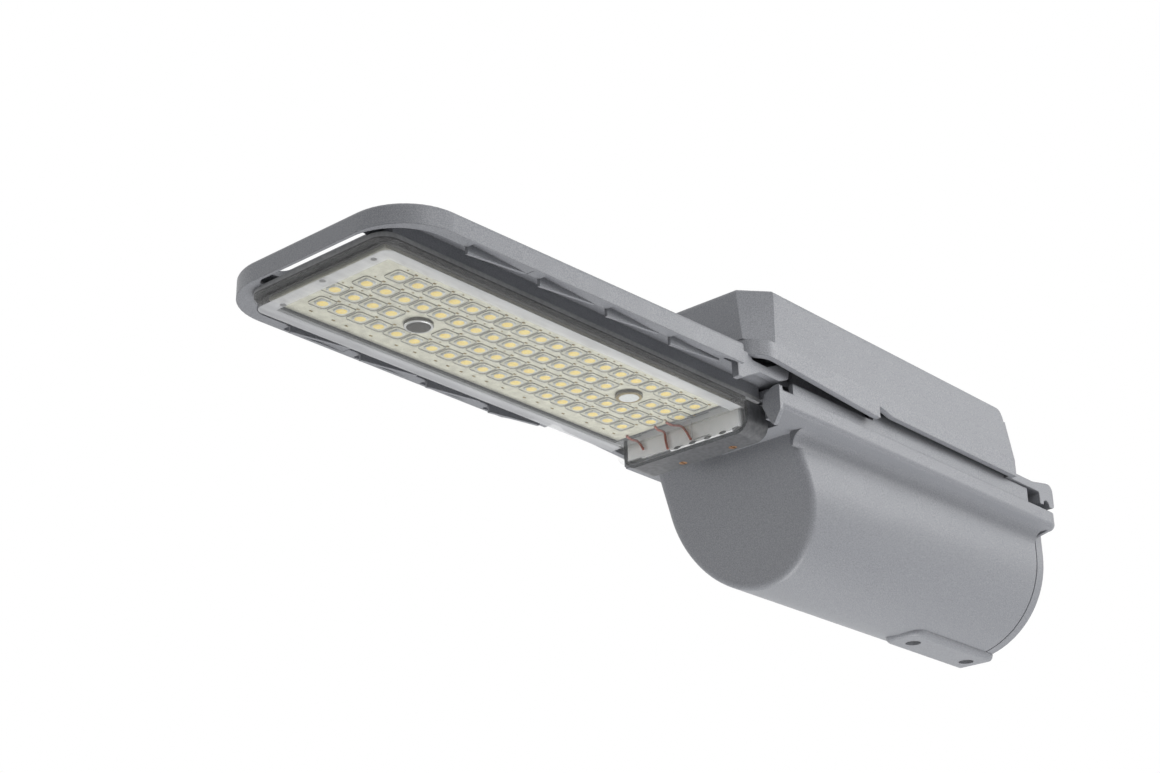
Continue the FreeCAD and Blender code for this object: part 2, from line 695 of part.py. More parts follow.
def rim_walls():
    """Upstand along each side of the lip, lower at the front."""
    walls = []
    for start, x1, top in ((RIM_WALL_FRONT, RIM_WALL_JOG, RIM_WALL_FRONT_Z),
                           (RIM_WALL_JOG, RIM_WALL_HIGH_END, RIM_WALL_REAR_Z),
                           (RIM_WALL_HIGH_END, RIM_WALL_END, RIM_WALL_DECK_Z)):
        for sign in (-1, 1):
            x0 = start + (RIM_WALL_FAR_STEP if sign > 0 and start == RIM_WALL_FRONT else 0)
            outer = [sign * (lip_half(x) - RIM_WALL_STEP) for x in (x0, x1)]
            inner = [sign * (lip_half(x) - RIM_WALL_STEP - RIM_WALL_T) for x in (x1, x0)]
            points = [(x0, outer[0]), (x1, outer[1]), (x1, inner[0]), (x0, inner[1])]
            walls.append(plan(points, [0, 0, 0, 0], LIP_TOP - 1, top))
    return walls


def cheek():
    """Rounded front end of the lip beside the module, on the latch side."""
    outer = lip_half(LIP_FRONT)
    points = [(-outer, CHEEK_TOP), (-CHEEK_IN, CHEEK_TOP), (-CHEEK_IN, LIP_LOW + 1.5), (-CHEEK_IN - 4.2, LIP_LOW - 7),
              (-CHEEK_IN - 5.7, LIP_LOW - 8.5), (-outer, LIP_LOW - 1.5)]
    return front(points, [1, 8.5, 2, 1, 1, 3], LIP_FRONT, LIP_FRONT + CHEEK_T)


def socket():
    """Tube that takes the pole, with its end wall."""
    start = MOUTH - SOCKET_DEPTH - SOCKET_END
    return lengthwise(start, MOUTH, 0, AXIS_Z, SOCKET_OUT_R)


def pad():
    """Flat boss under the socket for the clamp screws."""
    half = PAD_HALF
    body = plan([(PAD_FRONT, -half), (MOUTH, -half), (MOUTH, half), (PAD_FRONT, half)],
                [half * 0.7, 0, 0, half * 0.7], PAD_LOW, AXIS_Z - SOCKET_R - 2)
    edges = []
    for edge in body.Edges:
        reach = edge.BoundBox
        if reach.ZMax < sz(PAD_LOW) + 0.01 and reach.XMin < sx(MOUTH) - 1:
            edges.append(edge)
    return body.makeFillet(PAD_R, edges)


def seam():
    """Narrow groove round the tub ahead of its rear rim."""
    ring = tub_body(-3, SEAM_X, SEAM_X + SEAM_W, LIP_LOW)
    core = tub_body(SEAM_DEPTH, SEAM_X - 1, SEAM_X + SEAM_W + 1, LIP_LOW + 1)
    keep = box(SEAM_X - 1, SEAM_X + SEAM_W + 1, -PAD_HALF, PAD_HALF, PAD_LOW - 1, AXIS_Z)
    return ring.cut([core, keep])


def hinge_lugs():
    """Lugs that hold the hinge pins."""
    outer = KNUCKLE_IN - LUG_GAP
    lug = side([(HINGE_X - LUG_R, LIP_TOP - 1), (HINGE_X + LUG_R, LIP_TOP - 1),
                (HINGE_X + LUG_R, HINGE_Z + LUG_R - 2), (HINGE_X - LUG_R, HINGE_Z + LUG_R - 2)],
               [0, 0, 4.5, 4.5], -outer, -LUG_IN)
    return both(lug)


def lower_cavities():
    """Hollows of the lower casting: gear compartment and rear bay."""
    gear = tub_body(WALL, SEAL_FRONT + SEAL_T, SEAL_REAR - SEAL_T, SEAL_Z + 1).cut(front_cut(WALL))
    bay = tub_body(WALL, SEAL_REAR, MOUTH - 2 * WALL, SEAL_Z + 1)
    keep = [lengthwise(MOUTH - SOCKET_DEPTH - SOCKET_END, MOUTH, 0, AXIS_Z, SOCKET_OUT_R),
            box(PAD_FRONT, MOUTH, -PAD_HALF, PAD_HALF, TUB_LOW - 1, AXIS_Z)]
    return [gear.cut(keep), bay.cut(keep)]


def lower_housing():
    """Lower casting: tub, lip, rim, pole socket and clamp pad in one piece."""
    seal = box(SEAL_FRONT, SEAL_REAR, -SEAL_HALF, SEAL_HALF, SEAL_LOW, SEAL_Z)
    wall = box(FRONT_WALL, SEAL_FRONT + 1, -FRONT_WALL_NEAR, FRONT_WALL_FAR, LIP_LOW, SEAL_Z)
    gap = box(LIP_FRONT - 1, FRONT_WALL, -CHEEK_IN - 1.2, CHEEK_IN, LIP_LOW - 1, LIP_TOP + 1)
    nest = box(FRONT_WALL - 1, SEAL_FRONT, -NEST_HALF, NEST_HALF, LIP_LOW - 1, NEST_TOP)
    far = box(LIP_FRONT - 1, TUB_FRONT + 8, NEST_HALF + 0.5, LIP_HALF_REAR, LIP_LOW - 1, SEAL_LOW)
    upper = fused(lip() + [wall]).cut([gap, nest, far])
    solid = fused([tub_outer(), upper, seal, pad(), cheek()] + rim_walls() + hinge_lugs())
    solid = solid.cut(lower_cavities())
    solid = fused([solid, socket()] + tray_posts())
    bore = lengthwise(MOUTH - SOCKET_DEPTH, LIP_REAR + 5, 0, AXIS_Z, SOCKET_R)
    cable = lengthwise(MOUTH - SOCKET_DEPTH - SOCKET_END - 1, MOUTH, 0, AXIS_Z, CABLE_HOLE_R)
    mouth = box(MOUTH, LIP_REAR + 5, -SOCKET_OUT_R - 2, SOCKET_OUT_R + 2, TUB_LOW, LIP_TOP + 10)
    cuts = [bore, cable, mouth, seam()]
    for x in CLAMP_X:
        cuts.append(upright(x, 0, PAD_LOW - 1, AXIS_Z - SOCKET_R + 3, CLAMP_R))
    for sign in (-1, 1):
        y0 = min(sign * LUG_IN - sign, sign * (LUG_IN + 20))
        cuts.append(crosswise(HINGE_X, HINGE_Z, y0, y0 + 21, HINGE_PIN_R))
    return solid.cut(cuts)


def clamp_screws():
    """Two hexagon-socket set screws that grip the pole."""
    screws = []
    for x in CLAMP_X:
        shank = upright(x, 0, PAD_LOW + CLAMP_RECESS, AXIS_Z - SOCKET_R, CLAMP_R)
        key = Part.Face(hexagon(x, 0, PAD_LOW + CLAMP_RECESS, CLAMP_R * 0.55)).extrude(V(0, 0, 3.5))
        screws.append(shank.cut(key))
    return Part.makeCompound(screws)


def hexagon(x, y, z, r):
    """Hexagonal wire in plan."""
    points = [V(sx(x) + r * math.cos(math.radians(60 * k)), y + r * math.sin(math.radians(60 * k)), sz(z))
              for k in range(6)]
    return Part.makePolygon(points + [points[0]])


def hinge_pins():
    """Pins pressed into the lugs, on which the knuckles turn."""
    low = LUG_IN + 0.5
    return Part.makeCompound(both(crosswise(HINGE_X, HINGE_Z, low, KNUCKLE_OUT - PIN_COVER, HINGE_PIN_R)))


def compartment_gasket():
    """Rubber ring on the sealing rim."""
    ring = box(SEAL_FRONT, SEAL_REAR, -SEAL_HALF, SEAL_HALF, SEAL_Z, SEAL_Z + GASKET_H)
    hole = box(SEAL_FRONT + SEAL_T, SEAL_REAR - SEAL_T, -SEAL_HALF + SEAL_T, SEAL_HALF - SEAL_T,
               SEAL_Z - 1, SEAL_Z + GASKET_H + 1)
    return ring.cut(hole)


def led_places():
    """Centre of each LED: four staggered rows, gaps at the two lens screws."""
    places = []
    for row in range(4):
        y = (row - 1.5) * LED_ROW_PITCH
        shift = LED_START + (0 if row % 2 == 0 else LED_PITCH / 2)
        for k in range(LED_COUNT):
            x = shift + k * LED_PITCH
            near_screw = any(abs(x - sxx) < LED_PITCH and abs(y - syy) < LED_ROW_PITCH / 2
                             for sxx, syy in lens_screw_places())
            missing = (row == 0 and k == 0) or (row == 3 and k == LED_COUNT - 1)
            if not near_screw and not missing:
                places.append((x, y))
    return places


def lens_screw_places():
    """Centres of the two screws through the lens sheet."""
    first = (LED_START + 4.5 * LED_PITCH, LED_ROW_PITCH / 2)
    second = (LED_START + (LED_COUNT - 4) * LED_PITCH, -LED_ROW_PITCH / 2)
    return (first, second)


def led_board():
    """Circuit board under the module plate."""
    board = box(BOARD_TIP, LENS_LEN - BOARD_GAP, -BOARD_HALF, BOARD_HALF, BOARD_LOW, PLATE_LOW)
    holes = [upright(x, y, BOARD_LOW - 1, PLATE_LOW + 1, LENS_SCREW_SHANK_R + FIT) for x, y in lens_screw_places()]
    return board.cut(holes)


def led_chips():
    """The LEDs on the board, one separate solid each."""
    half = CHIP / 2
    chips = [box(x - half, x + half, y - half, y + half, BOARD_LOW - CHIP_T, BOARD_LOW) for x, y in led_places()]
    return Part.makeCompound(chips)


def optic(x, y):
    """One squarish lens under an LED."""
    sections = []
    for half, drop in ((OPTIC / 2, 0), (OPTIC / 2 - 0.3, OPTIC_H * 0.6), (OPTIC_CROWN / 2, OPTIC_H)):
        z = sz(BOARD_LOW - drop)
        corners = [V(sx(x + a * half), y + b * half, z) for a, b in ((-1, -1), (1, -1), (1, 1), (-1, 1))]
        sections.append(Part.makePolygon(corners + [corners[0]]))
    return Part.makeLoft(sections, True, True)


def lens_array():
    """Clear sheet on the board: a lens for each LED and a ring for each screw."""
    low = BOARD_LOW - OPTIC_SHEET_T
    sheet = box(BOARD_TIP + 1, LEAD_START - 1.1, -BOARD_HALF + 1, BOARD_HALF - 1, low, BOARD_LOW)
    rings = [upright(x, y, BOARD_LOW - OPTIC_H + FIT, BOARD_LOW, SCREW_RING_R) for x, y in lens_screw_places()]
    solid = sheet.fuse(rings + [optic(x, y) for x, y in led_places()]).removeSplitter()
    half = CHIP / 2 + 0.2
    deep = BOARD_LOW - CHIP_T - 0.2
    cuts = [box(x - half, x + half, y - half, y + half, deep, BOARD_LOW + 1) for x, y in led_places()]
    for x, y in lens_screw_places():
        cuts.append(upright(x, y, BOARD_LOW - OPTIC_H - 1, BOARD_LOW + 1, SCREW_WELL_R))
    return solid.cut(cuts)


def lens_outline(inset, z0, z1, end, grow_tip=0.0, radius=LENS_CORNER_R):
    """Plan of the lens tray, inset or grown."""
    half = LENS_HALF - inset
    tip = inset - grow_tip
    points = [(tip, -half), (end, -half), (end, half), (tip, half)]
    return plan(points, [radius, 0, 0, radius], z0, z1)


def chamber_section(inset, x0, x1, top):
    """Box section of the wiring chamber, its lower corners rounded."""
    near = CHAMBER_HALF - inset
    far = CHAMBER_FAR_HALF - inset
    low = CHAMBER_LOW + inset
    return front([(-near, low), (far, low), (far, top), (-near, top)],
                 [CHAMBER_R - inset, CHAMBER_R - inset, 0, 0], x0, x1)


def lens_cover():
    """Clear flat tray over the LEDs, with the deeper front of the wiring chamber."""
    tray = lens_outline(0, 0, TRAY_H, LENS_LEN)
    flange = lens_outline(-FLANGE_SIDE, TRAY_H, TRAY_H + FLANGE_T, LENS_LEN,
                          FLANGE_TIP - FLANGE_SIDE, LENS_CORNER_R + FLANGE_TIP)
    inside = lens_outline(LENS_WALL, LENS_T, TRAY_H + FLANGE_T + 1, LENS_LEN - LENS_WALL, 0,
                          LENS_CORNER_R - LENS_WALL)
    shell = fused([tray, flange]).cut(inside)
    top = TRAY_H + FLANGE_T
    box_out = chamber_section(0, LENS_LEN - LENS_WALL, LENS_LEN + CHAMBER_FRONT, top)
    box_in = chamber_section(LENS_WALL, LENS_LEN, LENS_LEN + CHAMBER_FRONT + 1, top + 1)
    way = box(LENS_LEN - LENS_WALL - 1, LENS_LEN + 1, -BOARD_HALF, BOARD_HALF, LENS_T, top + 1)
    return fused([shell, box_out]).cut([box_in, way])


def lens_gasket():
    """Silicone ring between the tray's flange and the module plate."""
    low = TRAY_H + FLANGE_T
    outer = lens_outline(-FLANGE_SIDE, low, PLATE_LOW, LENS_LEN, FLANGE_TIP - FLANGE_SIDE, LENS_CORNER_R + FLANGE_TIP)
    inner = lens_outline(SEAL_RING_W, low - 1, PLATE_LOW + 1, LENS_LEN - SEAL_RING_W, 0, LENS_CORNER_R)
    return outer.cut(inner)


def module_plate():
    """Aluminium plate that carries the board and shuts the pedestal."""
    plate = lens_outline(-FLANGE_SIDE, PLATE_LOW, PLATE_HIGH, PEDESTAL_END, FLANGE_TIP - FLANGE_SIDE,
                         LENS_CORNER_R + FLANGE_TIP)
    holes = [upright(x, y, PLATE_LOW - 1, PLATE_HIGH + 1, LENS_SCREW_SHANK_R) for x, y in lens_screw_places()]
    holes.append(lead_drop(1))
    return plate.cut(holes)


def lead_drop(margin):
    """Hole in the module plate over the wiring chamber."""
    return upright(PEDESTAL_END - 7, 0, PLATE_LOW - margin, PLATE_HIGH + margin, 2.5)


def lens_screws():
    """Two screws that hold the lens sheet and the board."""
    screws = []
    low = BOARD_LOW - LENS_SCREW_HEAD_H
    for x, y in lens_screw_places():
        head = upright(x, y, low, BOARD_LOW, LENS_SCREW_HEAD_R)
        shank = upright(x, y, BOARD_LOW, PLATE_HIGH, LENS_SCREW_SHANK_R)
        key = Part.Face(hexagon(x, y, low - 0.5, LENS_SCREW_SHANK_R)).extrude(V(0, 0, 1.2))
        screws.append(head.fuse(shank).removeSplitter().cut(key))
    return Part.makeCompound(screws)


def end_cap():
    """Grey cap that closes the wiring chamber at the module's rear."""
    start = LENS_LEN + CHAMBER_FRONT
    top = PLATE_LOW
    outer = chamber_section(0, start, CAP_END, top)
    inner = chamber_section(CAP_WALL, start - 1, CAP_END - CAP_WALL, top + 1)
    cap = outer.cut(inner)
    post = [upright(x, y, CHAMBER_LOW + 0.1, top, CAP_SCREW_R + 1.6) for x, y in CAP_SCREWS]
    cap = fused([cap] + post)
    holes = []
    for x, y in CAP_SCREWS:
        holes.append(upright(x, y, CHAMBER_LOW - 1, CHAMBER_LOW + 1.2, CAP_SCREW_R))
        holes.append(upright(x, y, CHAMBER_LOW - 1, top + 1, CAP_SCREW_R * 0.6))
    return cap.cut(holes).common(box(start - 5, CAP_END, -100, 100, -50, top))


def cap_screws():
    """Brass screws under the end cap."""
    screws = []
    for x, y in CAP_SCREWS:
        head = upright(x, y, CHAMBER_LOW + 0.1, CHAMBER_LOW + 1.2, CAP_SCREW_R)
        shank = upright(x, y, CHAMBER_LOW + 1.2, PLATE_LOW - 0.2, CAP_SCREW_R * 0.6)
        slot = box(x - CAP_SCREW_R - 1, x + CAP_SCREW_R + 1, y - 0.3, y + 0.3, CHAMBER_LOW - 1, CHAMBER_LOW + 0.6)
        screws.append(head.fuse(shank).removeSplitter().cut(slot))
    return Part.makeCompound(screws)


def terminal_covers():
    """White covers over the board's two connectors."""
    x0 = LENS_LEN + COVER_FRONT
    x1 = CAP_END - CAP_WALL - 6.5
    covers = [box(x0, x1, y0, y1, COVER_LOW, PLATE_LOW) for y0, y1 in CONNECTORS]
    return Part.makeCompound(covers)


def lead_comb():
    """Comb along the chamber's lower edge that parts the leads."""
    x0 = LENS_LEN + 1.7
    low = CHAMBER_LOW + LENS_WALL + FIT
    comb = box(x0, x0 + 1.4, -30.5, 6.0, low, -6.7)
    slots = [box(x0 - 1, x0 + 3, y - 2.2, y + 2.2, low + 0.5, -7.1) for y in (-25.6, -16.9, -8.3, 0.3)]
    return comb.cut(slots)


def lead(points, radius):
    """Thin lead along straight runs joined by tangent arcs."""
    path = [V(sx(x), y, sz(z)) for x, y, z in points]
    edges = []
    last = path[0]
    for i in range(1, len(path) - 1):
        back = (path[i - 1] - path[i]).normalize()
        ahead = (path[i + 1] - path[i]).normalize()
        half = back.getAngle(ahead) / 2
        shorter = min(path[i].distanceToPoint(path[i - 1]), path[i].distanceToPoint(path[i + 1]))
        run = 0.45 * shorter
        bend = run * math.tan(half)
        middle = (back + ahead).normalize()
        start = path[i] + back * run
        end = path[i] + ahead * run
        mid = path[i] + middle * (bend / math.sin(half) - bend)
        edges.append(Part.LineSegment(last, start).toShape())
        edges.append(Part.Arc(start, mid, end).toShape())
        last = end
    edges.append(Part.LineSegment(last, path[-1]).toShape())
    wire = Part.Wire(edges)
    along = (path[1] - path[0]).normalize()
    circle = Part.Wire([Part.Circle(path[0], along, radius).toShape()])
    return wire.makePipeShell([circle], True, False)


def module_leads():
    """Red leads from the board into the comb."""
    end = LENS_LEN + 1.15
    start = BOARD_LOW - LEAD_R
    first = [(LEAD_START, 2.0, start), (LENS_LEN - 2, 1.5, 2.6), (end, -2.0, 2.4), (end, -5.0, -2.0),
             (end, -7.0, -6.0)]
    second = [(LEAD_START, 9.0, start), (LENS_LEN - 2, 10.0, 2.6), (end, 8.5, 2.4), (end, 8.0, -3.0),
              (end, 7.0, -7.0)]
    third = [(LEAD_START, 26.5, start), (LENS_LEN - 2, 27.0, 2.6), (end, 25.5, 2.4), (end, 23.5, 0.0),
             (end, 22.0, -3.0)]
    return Part.makeCompound([lead(points, LEAD_R) for points in (first, second, third)])


def driver_top():
    """Height at which the driver's bracket meets its bosses."""
    return HOOD_TOP - WALL - 5


def driver_screw_places():
    """Centres of the four bracket screws."""
    length, width, _ = DRIVER
    xs = (DRIVER_START - BRACKET_EAR / 2, DRIVER_START + length + BRACKET_EAR / 2)
    ys = (-width / 2 + 8, width / 2 - 8)
    return [(x, y) for x in xs for y in ys]


def driver_bracket():
    """Folded plate that hangs the driver from the hood."""
    length, width, _ = DRIVER
    top = driver_top()
    plate = box(DRIVER_START - BRACKET_EAR, DRIVER_START + length + BRACKET_EAR, -width / 2, width / 2,
                top - BRACKET_T, top)
    holes = [upright(x, y, top - BRACKET_T - 1, top + 1, SCREW_R + 0.2) for x, y in driver_screw_places()]
    return plate.cut(holes)


def driver_screws():
    """Screws of the driver's bracket."""
    top = driver_top() - BRACKET_T
    screws = []
    for x, y in driver_screw_places():
        head = upright(x, y, top - SCREW_HEAD_H, top, SCREW_HEAD_R)
        shank = upright(x, y, top, driver_top() + SCREW_BITE, SCREW_R)
        screws.append(head.fuse(shank).removeSplitter())
    return Part.makeCompound(screws)


def led_driver():
    """Sealed LED driver under its bracket."""
    length, width, height = DRIVER
    top = driver_top() - BRACKET_T
    body = front([(-width / 2 + 1, top - height), (width / 2 - 1, top - height), (width / 2 - 1, top),
                  (-width / 2 + 1, top)], [5, 5, 1, 1], DRIVER_START, DRIVER_START + length)
    return body


def gear_tray():
    """Plate low in the tub that carries the terminals."""
    edge = tub_body(WALL + FIT, TRAY_START, TRAY_END, LIP_TOP)
    plate = edge.common(box(TRAY_START, TRAY_END, -TUB_HALF, TUB_HALF, TRAY_Z, TRAY_Z + TRAY_T))
    holes = [upright(x, y, TRAY_Z - 1, TRAY_Z + TRAY_T + 1, SCREW_R + 0.2) for x, y in tray_screw_places()]
    return plate.cut(holes)


def tray_screw_places():
    """Centres of the tray's screws."""
    return [(x, y) for x in (TRAY_START + 6, TRAY_END - 6) for y in (-TRAY_SCREW_Y, TRAY_SCREW_Y)]


def tray_screws():
    """Screws that hold the tray on its posts."""
    screws = []
    for x, y in tray_screw_places():
        head = upright(x, y, TRAY_Z + TRAY_T, TRAY_Z + TRAY_T + SCREW_HEAD_H, SCREW_HEAD_R)
        shank = upright(x, y, TRAY_Z - SCREW_BITE, TRAY_Z + TRAY_T, SCREW_R)
        screws.append(head.fuse(shank).removeSplitter())
    return Part.makeCompound(screws)


def tray_posts():
    """Posts of the lower casting under the tray, drilled for its screws."""
    inside = tub_body(WALL / 2, TUB_FRONT, SEAL_REAR, SEAL_Z)
    posts = []
    for x, y in tray_screw_places():
        post = upright(x, y, TUB_LOW + 4, TRAY_Z, SCREW_R + 3)
        posts.append(post.common(inside).cut(upright(x, y, TRAY_Z - SCREW_BITE, TRAY_Z + 1, SCREW_R)))
    return posts


def terminal_block():
    """Mains terminal block on the tray."""
    length, width, height = TERMINAL
    low = TRAY_Z + TRAY_T
    x0 = TRAY_END - 16 - length
    body = box(x0, x0 + length, -width / 2, width / 2, low, low + height * 0.6)
    ridge = box(x0 + length * 0.3, x0 + length * 0.7, -width / 2, width / 2, low, low + height)
    solid = fused([body, ridge])
    wells = []
    for k in range(3):
        y = (k - 1) * width / 3
        for x in (x0 + length * 0.15, x0 + length * 0.85):
            wells.append(upright(x, y, low + height * 0.35, low + height, 3.2))
    return solid.cut(wells)


def terminal_screws():
    """Screws of the terminal block."""
    length, width, height = TERMINAL
    low = TRAY_Z + TRAY_T
    x0 = TRAY_END - 16 - length
    screws = []
    for k in range(3):
        y = (k - 1) * width / 3
        for x in (x0 + length * 0.15, x0 + length * 0.85):
            screws.append(upright(x, y, low + height * 0.35, low + height * 0.35 + 3, 3.0))
    return Part.makeCompound(screws)


def surge_protector():
    """Surge protector beside the terminal block."""
    length, width, height = SURGE
    low = TRAY_Z + TRAY_T
    x0 = TRAY_START + 3
    return plan([(x0, -width / 2), (x0 + length, -width / 2), (x0 + length, width / 2), (x0, width / 2)],
                [3, 3, 3, 3], low, low + height)


def cable_grommet():
    """Rubber grommet in the socket's end wall."""
    x0 = MOUTH - SOCKET_DEPTH - SOCKET_END
    body = lengthwise(x0, x0 + SOCKET_END, 0, AXIS_Z, CABLE_HOLE_R)
    flange = lengthwise(x0 - 2, x0, 0, AXIS_Z, CABLE_HOLE_R + 3)
    return body.fuse(flange).removeSplitter().cut(lengthwise(x0 - 3, x0 + SOCKET_END + 1, 0, AXIS_Z, 4.5))


def save(name, shape):
    """Write one sub-part."""
    shape.exportStep("parts/" + name + ".step")


def main():
    os.makedirs("parts", exist_ok=True)
    pieces = {
        "upper_housing": upper_housing(),
        "lower_housing": lower_housing(),
        "clamp_screws": clamp_screws(),
        "hinge_pins": hinge_pins(),
        "compartment_gasket": compartment_gasket(),
        "module_plate": module_plate(),
        "lens_gasket": lens_gasket(),
        "led_board": led_board(),
        "led_chips": led_chips(),
        "lens_array": lens_array(),
        "lens_cover": lens_cover(),
        "lens_screws": lens_screws(),
        "end_cap": end_cap(),
        "cap_screws": cap_screws(),
        "terminal_covers": terminal_covers(),
        "lead_comb": lead_comb(),
        "module_leads": module_leads(),
        "led_driver": led_driver(),
        "driver_bracket": driver_bracket(),
        "driver_screws": driver_screws(),
        "gear_tray": gear_tray(),
        "tray_screws": tray_screws(),
        "terminal_block": terminal_block(),
        "terminal_screws": terminal_screws(),
        "surge_protector": surge_protector(),
        "cable_grommet": cable_grommet(),
    }
    for name, shape in pieces.items():
        print(name, shape.isValid(), len(shape.Solids), round(shape.Volume))
        save(name, shape)


main()
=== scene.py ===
import bmesh
import bpy
import math
import random
from mathutils import Matrix, Vector


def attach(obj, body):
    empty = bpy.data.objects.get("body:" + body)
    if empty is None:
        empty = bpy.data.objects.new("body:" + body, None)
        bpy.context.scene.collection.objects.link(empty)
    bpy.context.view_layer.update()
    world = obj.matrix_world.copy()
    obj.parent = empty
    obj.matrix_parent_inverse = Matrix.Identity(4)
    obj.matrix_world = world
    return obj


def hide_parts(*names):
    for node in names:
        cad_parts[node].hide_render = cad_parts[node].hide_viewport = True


# An LED street light head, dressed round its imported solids.
# Shared frame, in metres: origin at the centre of the socket's mouth, X out of the socket, Z up.
# Places on the module, in mm: length behind the lens tip, distance across, height over the lens face.

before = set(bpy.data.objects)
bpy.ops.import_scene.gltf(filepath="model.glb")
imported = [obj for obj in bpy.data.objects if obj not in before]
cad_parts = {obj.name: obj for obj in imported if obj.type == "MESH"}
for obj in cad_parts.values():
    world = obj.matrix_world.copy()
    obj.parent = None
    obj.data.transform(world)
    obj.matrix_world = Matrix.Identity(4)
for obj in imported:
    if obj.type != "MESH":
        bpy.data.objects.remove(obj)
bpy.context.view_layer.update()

# Camera, in the shared frame
CAMERA_PLACE = (-0.9616, -0.5678, -0.3427)
CAMERA_RIGHT = (0.66755, -0.74432, -0.01931)
CAMERA_UP = (-0.28134, -0.27616, 0.91901)
CAMERA_AHEAD = (0.68937, 0.60805, 0.39376)
CAMERA_NEAR = 0.01
SENSOR = 36.0
IMAGE_WIDTH = 1160
FOCAL_PIXELS = 2084.0

# Studio, in the shared frame: floor with the glow that it shows, sky with its strength on both sides
FLOOR_BELOW = 1.5
FLOOR_SIZE = 12.0
FLOOR_GLOW = 0.35
FLOOR_ROUGHNESS = 0.8
PALE = (0.9, 0.9, 0.9)
WHITE = (1.0, 1.0, 1.0)
SKY_DIM = 0.17
SKY_BRIGHT = 0.64
SKY_TOWARDS = (0.25, -0.85, -0.15)

# Lamps: name, place, target, size in metres, power in watts
LAMPS = (
    ("key", (0.42, -0.75, 0.33), (-0.08, 0.0, 0.0), 0.5, 4.4),
    ("low", (0.05, 0.0, -0.85), (-0.3, 0.0, 0.0), 0.5, 5.6),
    ("front", (-0.5, -0.9, 0.4), (-0.3, 0.0, 0.0), 0.4, 2.2),
    ("rim", (-1.0, 1.0, 0.0), (-0.4, 0.0, 0.03), 0.4, 3.0),
)

# One millimetre, and the lens tip and lens face, in the shared frame
MM = 0.001
LENS_TIP_X = -0.4735
LENS_FACE_Z = 0.0233

# LEDs and board, in mm on the module
LED_PITCH = 10.42
LED_ROW_PITCH = 13.3
LED_ROWS = 4
LED_COUNT = 20
LED_START = 14.85
BOARD_LOW = 3.8
PACKAGE_HALF = 2.7
PACKAGE_CORNER = 0.6
PACKAGE_FACE = 3.1
EMITTER = ((2.45, 3.05), (2.05, 2.9))
EMITTER_TOP = 2.84

# Lens rings, in mm: half width, corner radius, height
LENS_RINGS = ((4.75, 1.7, 3.78), (4.7, 1.8, 3.3), (4.3, 1.9, 2.5), (3.4, 1.9, 2.05), (1.8, 1.3, 1.92))
LENS_DIMPLE = 2.15

# The module's two screws and their collars, in mm: places, then radius and height pairs
SCREW_PLACES = ((61.74, 6.65), (181.57, -6.65))
COLLAR_FOOT = BOARD_LOW - 0.05
COLLAR = ((6.4, COLLAR_FOOT), (6.4, 2.4), (6.1, 2.1), (5.0, 2.1), (4.7, 2.4), (4.6, COLLAR_FOOT))
SUNK_RING = ((6.2, 2.6), (6.2, 1.9), (5.9, 1.72), (5.3, 1.9))
SUNK_HEAD = ((5.25, 1.88), (5.15, 1.76), (2.0, 1.78))
DOMED_RING = ((6.0, 2.6), (6.0, 1.9), (5.7, 1.74), (4.7, 1.9))
DOMED_HEAD = ((4.65, 1.88), (4.5, 1.74), (4.0, 1.68))

# Components on the board, in mm: offset from an LED, then size
LONG_PART = ((4.2, -5.4), (1.5, 0.9, 0.3))
SHORT_PART = ((-1.2, -6.2), (0.9, 0.6, 0.2))
SHORT_PART_SHARE = 0.5
EDGE_PART_SIZE = (1.7, 0.8, 0.3)
EDGE_ROW = 29.6
EDGE_STRAY = 0.6
EDGE_START = 9.0
EDGE_END = 214.0
EDGE_SPACING = (7.0, 16.0)
PART_TAPER = 0.8
PART_SEED = 7

# Pale frosted border of the cover, and painted shade darkening its walls: where each sets in, in mm on
# the module
BORDER_SIDE = (33.0, 33.4)
BORDER_TIP = (7.1, 6.7)
BORDER_REAR = (223.0, 222.0)
BORDER_TOP = (1.8, 1.6)
WALL_FOOT = (0.0, 0.5)
# Z of a normal at which a face starts to count as level, and what the painted wall shade and the border
# add to the density
LEVEL_NORMAL = (0.3, 0.7)
WALL_DENSITY = 0.22
BORDER_DENSITY = 0.55

# Studs at the tip, in mm: places, then radius and height pairs
STUDS = ((3.0, -29.1), (1.9, -0.5), (5.6, 27.5))
STUD = ((1.3, 0.3), (1.3, -0.05), (1.1, -0.1))

# White bars by the connector covers, in mm: start, length and height pairs, spans across
BRIDGE_START = 227.0
BRIDGE = ((0.0, 5.2), (0.0, -5.4), (0.3, -5.6), (5.5, -5.6), (5.5, 5.2))
BRIDGE_SPANS = ((-17.4, -6.6), (24.2, 33.2))

# Painted shade in the gaps of the comb, in mm
GAPS_ACROSS = (1.7, -7.6, -16.6, -25.4, -33.4)
GAP_HEIGHT = -7.7
GAP_HALF_WIDTH = 2.1
GAP_HALF_HEIGHT = 0.75
GAP_ENDS = (225.66, 225.5)

# Plug in the lower casting's side, in mm: place, then radius and offset pairs
PLUG_PLACE = (454.3, -48.0, -4.4)
PLUG = ((1.3, 0.6), (1.3, -0.15), (0.9, -0.25), (0.8, -0.05))

# Sides of the round forms, and of one rounded corner of a package and a lens
SIDES_PACKAGE = 2
SIDES_LENS = 4
SIDES_SMALL = 12
SIDES_STUD = 16
SIDES_ROUND = 20
SIDES_COLLAR = 24
SIDES_SCREW = 32

# Colours, linear
CLEAR = (0.8, 0.83, 0.84)
# Painted shade: dark colour of the cover's upright walls, for the shade seen through them
PAINTED_WALL_SHADE = (0.42, 0.42, 0.42)
FROST = (0.74, 0.75, 0.77)
FROST_DIM = (0.6, 0.61, 0.63)
PAINT_DARK = (0.2, 0.206, 0.226)
PAINT_LIGHT = (0.3, 0.308, 0.33)

